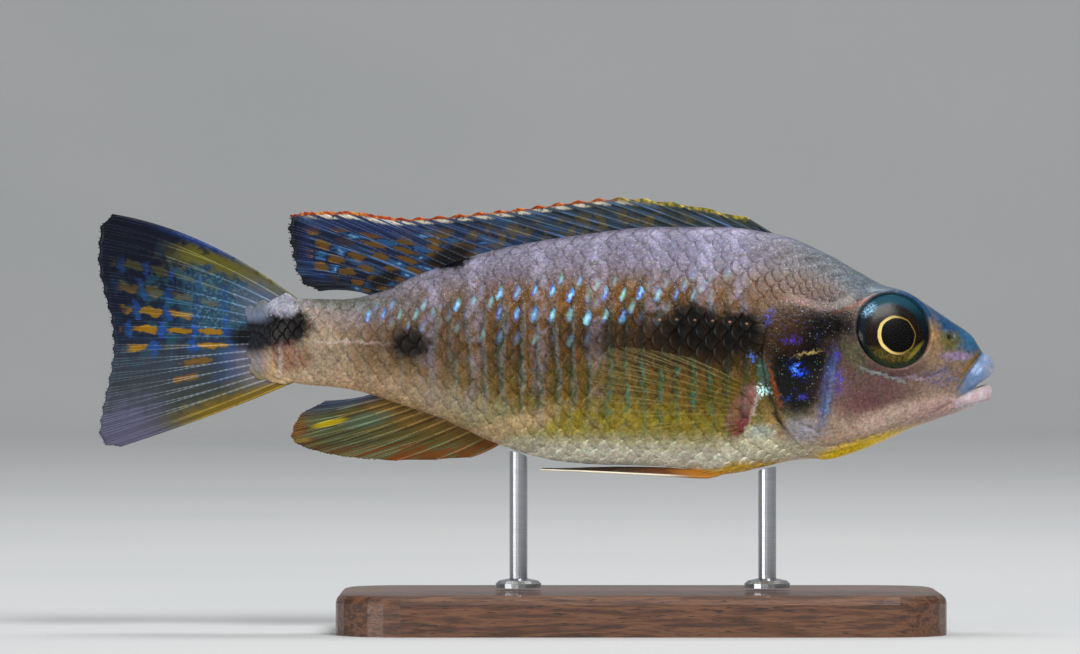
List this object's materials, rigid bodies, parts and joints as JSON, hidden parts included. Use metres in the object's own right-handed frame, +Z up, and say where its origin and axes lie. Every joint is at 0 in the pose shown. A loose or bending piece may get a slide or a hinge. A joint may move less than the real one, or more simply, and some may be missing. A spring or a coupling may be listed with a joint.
{
  "type": "azure cichlid fish model",
  "caption": "Life-size still model of a young azure hap cichlid held nose slightly down on a two-rod display stand",
  "frame": {"origin": "middle of the stand's underside, on the table", "axes": "+X towards the fish's nose, +Y towards its left side, +Z up"},
  "size_m": [0.11, 0.038, 0.0532],
  "materials": {
    "skin": "satin painted resin, lilac-grey above and gold-brown below, with scales",
    "blue_fin": "satin, dark blue with gold spots and pale rays",
    "gold_fin": "satin, olive and gold with darker rays",
    "clear_fin": "clear yellowish membrane with fine rays",
    "eye": "wet gloss, black with a gold ring round the pupil",
    "stand_wood": "dark stained wood, satin varnish",
    "stand_steel": "brushed"
  },
  "bodies": {
    "root": {"head": "skin", "gill_cover_left": "skin", "gill_cover_right": "skin", "trunk": "skin", "tail_stalk": "skin", "dorsal_fin": "blue_fin", "caudal_fin": "blue_fin", "anal_fin": "gold_fin", "pelvic_fin_left": "gold_fin", "pelvic_fin_right": "gold_fin", "pectoral_fin_left": "clear_fin", "pectoral_fin_right": "clear_fin", "eye_left": "eye", "eye_right": "eye", "stand_base": "stand_wood", "stand_rod_front": "stand_steel", "stand_rod_rear": "stand_steel"}
  },
  "joints": []
}
